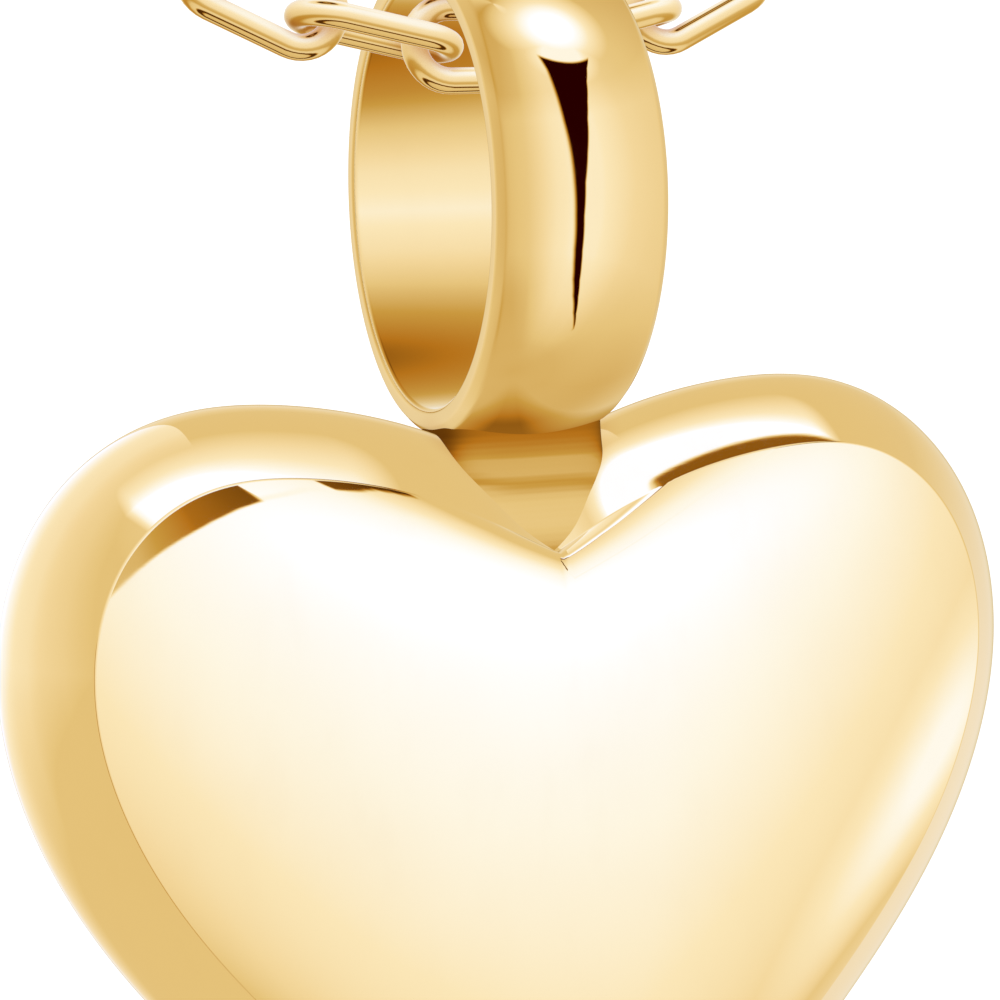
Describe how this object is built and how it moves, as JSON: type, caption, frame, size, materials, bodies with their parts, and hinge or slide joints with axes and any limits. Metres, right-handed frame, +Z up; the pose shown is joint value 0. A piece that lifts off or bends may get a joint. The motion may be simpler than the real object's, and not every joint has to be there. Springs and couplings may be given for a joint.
{
  "type": "keepsake urn pendant",
  "caption": "Hollow heart pendant with a domed face on each side, a soldered neck, a wide bail ring and a back plug, hanging on a closed necklace of oval links.",
  "frame": {"origin": "middle of the clasp at the top of the loop, where the necklace lies on the nape", "axes": "+X to the pendant's own left-to-right as seen from the front, +Y from the front face to the back face, +Z up"},
  "size_m": [0.1506, 0.0086, 0.1689],
  "materials": {
    "polished_gold": "mirror-polished yellow gold plating",
    "plug_gold": "turned yellow gold plating",
    "chain_gold": "polished yellow gold plating"
  },
  "bodies": {
    "necklace": {"chain_right": "chain_gold", "chain_left": "chain_gold", "clasp": "chain_gold"},
    "pendant": {"urn_body": "polished_gold", "fill_screw": "plug_gold"}
  },
  "joints": [
    {"name": "pendant_swing", "type": "hinge", "parent": "necklace", "child": "pendant", "pos_m": [0, 0, -0.14599], "axis": [1, 0, 0], "range_deg": [-90, 90]}
  ]
}
